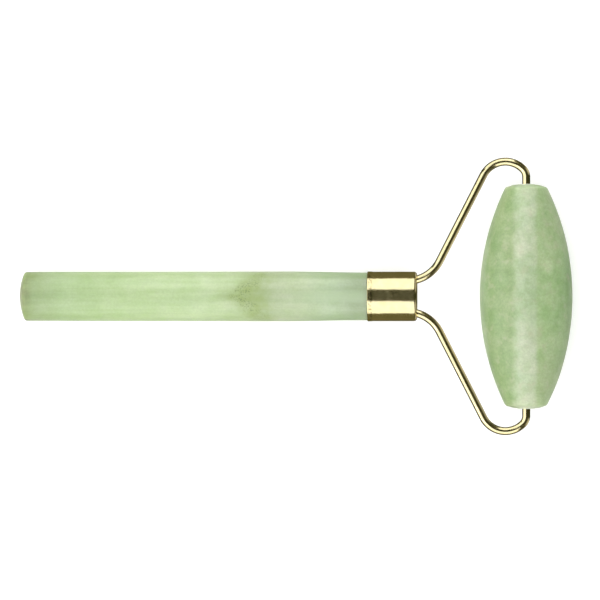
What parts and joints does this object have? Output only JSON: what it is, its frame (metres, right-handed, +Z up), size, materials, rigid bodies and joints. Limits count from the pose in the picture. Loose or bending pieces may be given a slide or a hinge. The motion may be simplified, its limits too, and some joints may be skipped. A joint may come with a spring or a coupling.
{
  "type": "face roller",
  "caption": "Facial massage roller: a round stone handle, a metal ferrule, and a bent-wire fork that holds a barrel-shaped stone on its two ends, free to spin.",
  "frame": {"origin": "on the table plane, under the centre of the object as it lies at rest on the roller's belly and the rim of the handle's tail", "axes": "+X from the handle's tail towards the roller, +Y along the roller's axle, +Z up from the table; the handle's own axis rises 2.5 degrees towards the roller"},
  "size_m": [0.1454, 0.0728, 0.0243],
  "materials": {
    "handle_stone": "polished translucent pale green stone with cloudy banding and a mossy seam",
    "roller_stone": "satin translucent green stone with cloudy mottling",
    "gilt_metal": "bright pale-gold plating, polished",
    "potting_resin": "clear amber epoxy, hidden inside the ferrule",
    "white_nylon": "natural white nylon, satin"
  },
  "bodies": {
    "fork": {"jade_handle": "handle_stone", "ferrule": "gilt_metal", "fork_wire": "gilt_metal", "resin_plug": "potting_resin"},
    "roller": {"roller_stone": "roller_stone", "bush_left": "white_nylon", "bush_right": "white_nylon"}
  },
  "joints": [
    {"name": "roller_spin", "type": "hinge", "parent": "fork", "child": "roller", "pos_m": [0.06057, 0, 0.01216], "axis": [0, 1, 0], "continuous": true}
  ]
}
